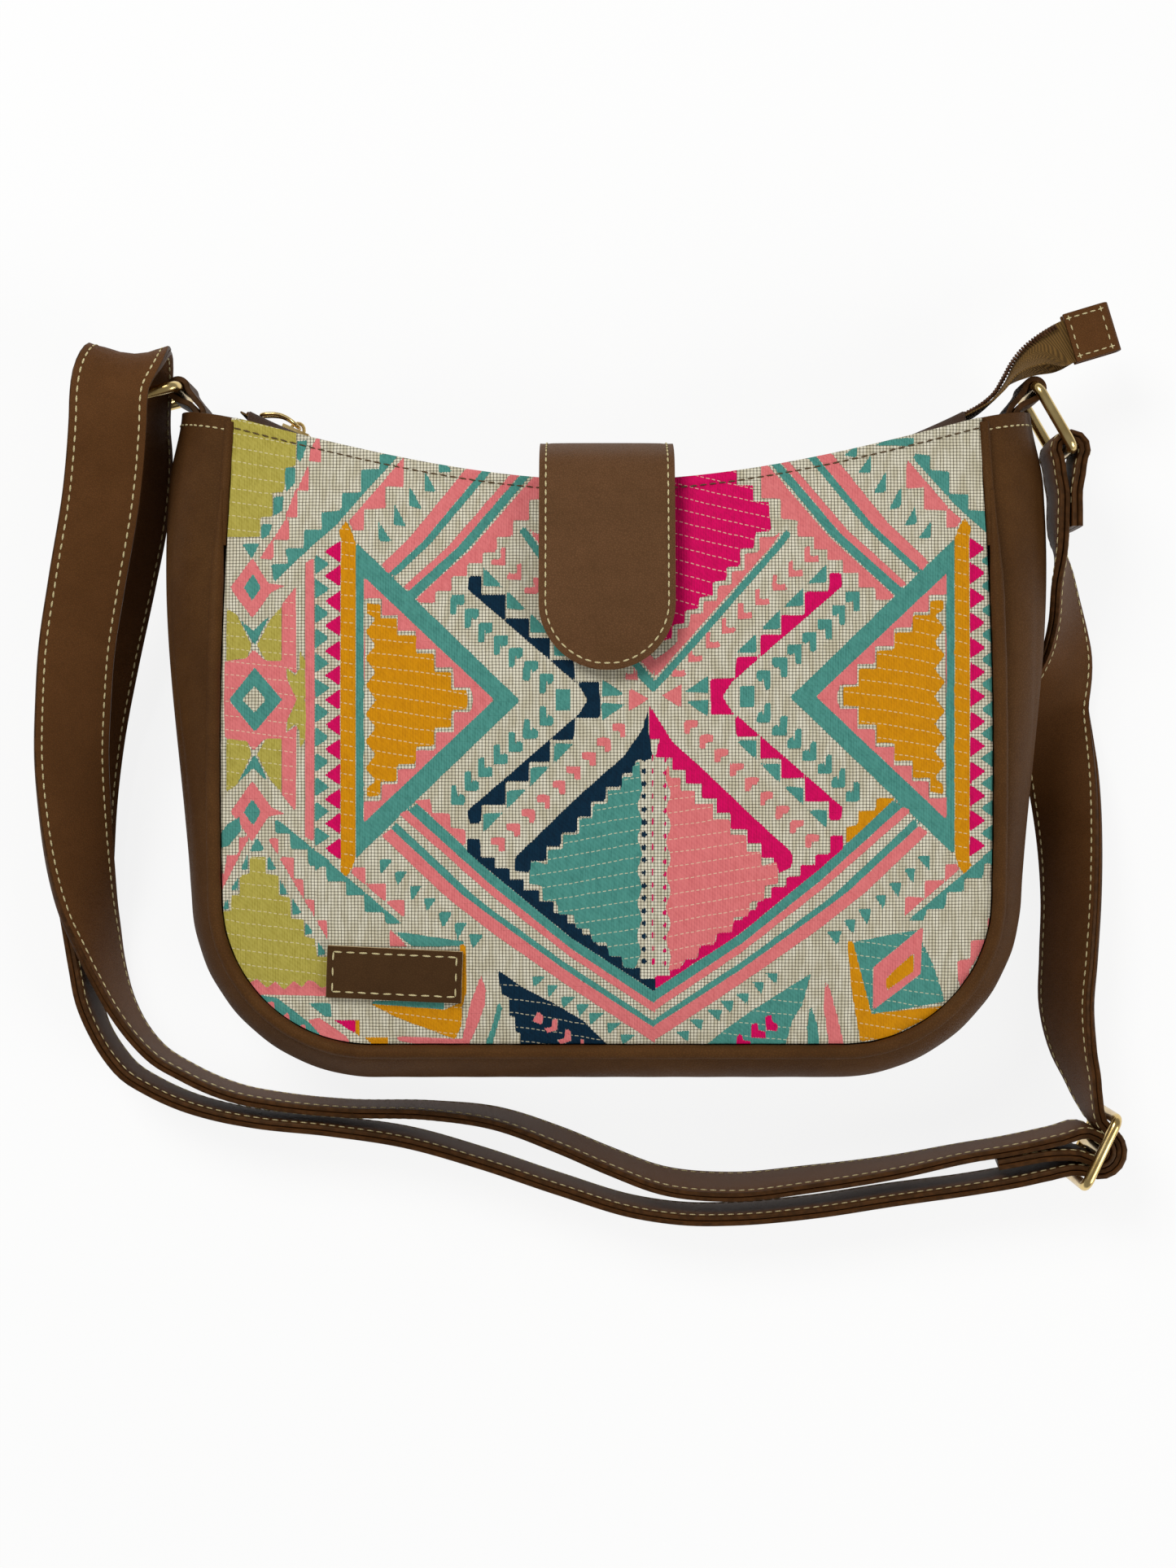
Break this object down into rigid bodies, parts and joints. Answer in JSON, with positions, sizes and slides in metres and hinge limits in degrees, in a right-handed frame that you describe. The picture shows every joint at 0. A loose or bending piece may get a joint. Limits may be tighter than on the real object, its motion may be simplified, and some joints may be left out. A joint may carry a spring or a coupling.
{
  "type": "sling bag",
  "caption": "Soft sling bag with woven panels, leather sides, zipped mouth with a snap flap, and a long leather strap with ring and slide adjuster, lying on its back.",
  "frame": {"origin": "a point on the outside of the flat back panel, on which the bag lies, in the middle of its width and near the middle of its height", "axes": "+X to the right of the bag seen from the front, +Y from its bottom to its mouth, +Z out of the front panel"},
  "size_m": [0.3516, 0.2989, 0.0712],
  "materials": {
    "leather": "brown, pebbled, satin",
    "dark_leather": "dark brown, suede side",
    "woven_cloth": "matt jacquard weave",
    "lining_cloth": "matt twill",
    "zip_tape": "ribbed tape",
    "zip_coil": "satin nylon",
    "gold_metal": "polished pale gold plating",
    "snap_metal": "satin nickel",
    "teal_yarn": "soft satin floats",
    "pink_yarn": "soft satin floats",
    "magenta_yarn": "soft satin floats",
    "mustard_yarn": "soft satin floats",
    "navy_yarn": "soft satin floats",
    "yellow_yarn": "soft satin floats"
  },
  "bodies": {
    "bag": {"front_panel": "woven_cloth", "back_panel": "woven_cloth", "gusset": "leather", "front_piping": "leather", "back_piping": "leather", "lining": "lining_cloth", "zip_tape_front": "zip_tape", "zip_tape_back": "zip_tape", "zip_coil_front": "zip_coil", "zip_coil_back": "zip_coil", "facing_front": "dark_leather", "facing_back": "dark_leather", "zip_end_tab": "leather", "snap_panel": "snap_metal", "label_patch": "leather", "chape_left": "leather", "chape_right": "leather", "adjuster": "gold_metal", "strap_face": "leather", "strap_backing": "leather", "teal_field_1": "teal_yarn", "pink_field_1": "pink_yarn", "magenta_field_1": "magenta_yarn", "navy_field_1": "navy_yarn", "teal_field_2": "teal_yarn", "teal_field_3": "teal_yarn", "mustard_field_1": "mustard_yarn", "mustard_field_2": "mustard_yarn", "yellow_field_1": "yellow_yarn", "pink_field_2": "pink_yarn", "mustard_field_3": "mustard_yarn", "mustard_field_4": "mustard_yarn", "yellow_field_2": "yellow_yarn", "pink_field_3": "pink_yarn", "teal_field_4": "teal_yarn", "pink_field_4": "pink_yarn", "pink_field_5": "pink_yarn", "teal_field_5": "teal_yarn", "navy_field_2": "navy_yarn", "pink_field_6": "pink_yarn", "pink_field_7": "pink_yarn", "pink_field_8": "pink_yarn", "pink_field_9": "pink_yarn", "teal_field_6": "teal_yarn", "mustard_field_5": "mustard_yarn", "navy_field_3": "navy_yarn", "pink_field_10": "pink_yarn", "pink_field_11": "pink_yarn", "pink_field_12": "pink_yarn", "magenta_field_2": "magenta_yarn", "teal_field_7": "teal_yarn", "mustard_field_6": "mustard_yarn", "pink_field_13": "pink_yarn"},
    "flap": {"flap": "leather", "flap_lining": "dark_leather", "snap_flap": "snap_metal"},
    "slider": {"zip_slider": "gold_metal"},
    "pull": {"zip_pull": "gold_metal"},
    "left_ring": {"ring_left": "gold_metal"},
    "right_ring": {"ring_right": "gold_metal"}
  },
  "joints": [
    {"name": "flap_fold", "type": "hinge", "parent": "bag", "child": "flap", "pos_m": [0, 0.0832, 0.0022], "axis": [-1, 0, 0], "range_deg": [0, 120]},
    {"name": "zip_run", "type": "hinge", "parent": "bag", "child": "slider", "pos_m": [0, 0.328, 0.0285], "axis": [0, 0, 1], "range_deg": [0, 47]},
    {"name": "pull_swing", "type": "hinge", "parent": "slider", "child": "pull", "pos_m": [-0.09917, 0.10132, 0.0285], "axis": [0, 0, 1], "range_deg": [-160, 0]},
    {"name": "left_ring_swing", "type": "hinge", "parent": "bag", "child": "left_ring", "pos_m": [-0.1365, 0.1125, 0.0285], "axis": [0, 0, 1], "range_deg": [-3.5, 3.5]},
    {"name": "right_ring_swing", "type": "hinge", "parent": "bag", "child": "right_ring", "pos_m": [0.1365, 0.1125, 0.0285], "axis": [0, 0, 1], "range_deg": [-2, 2]}
  ]
}
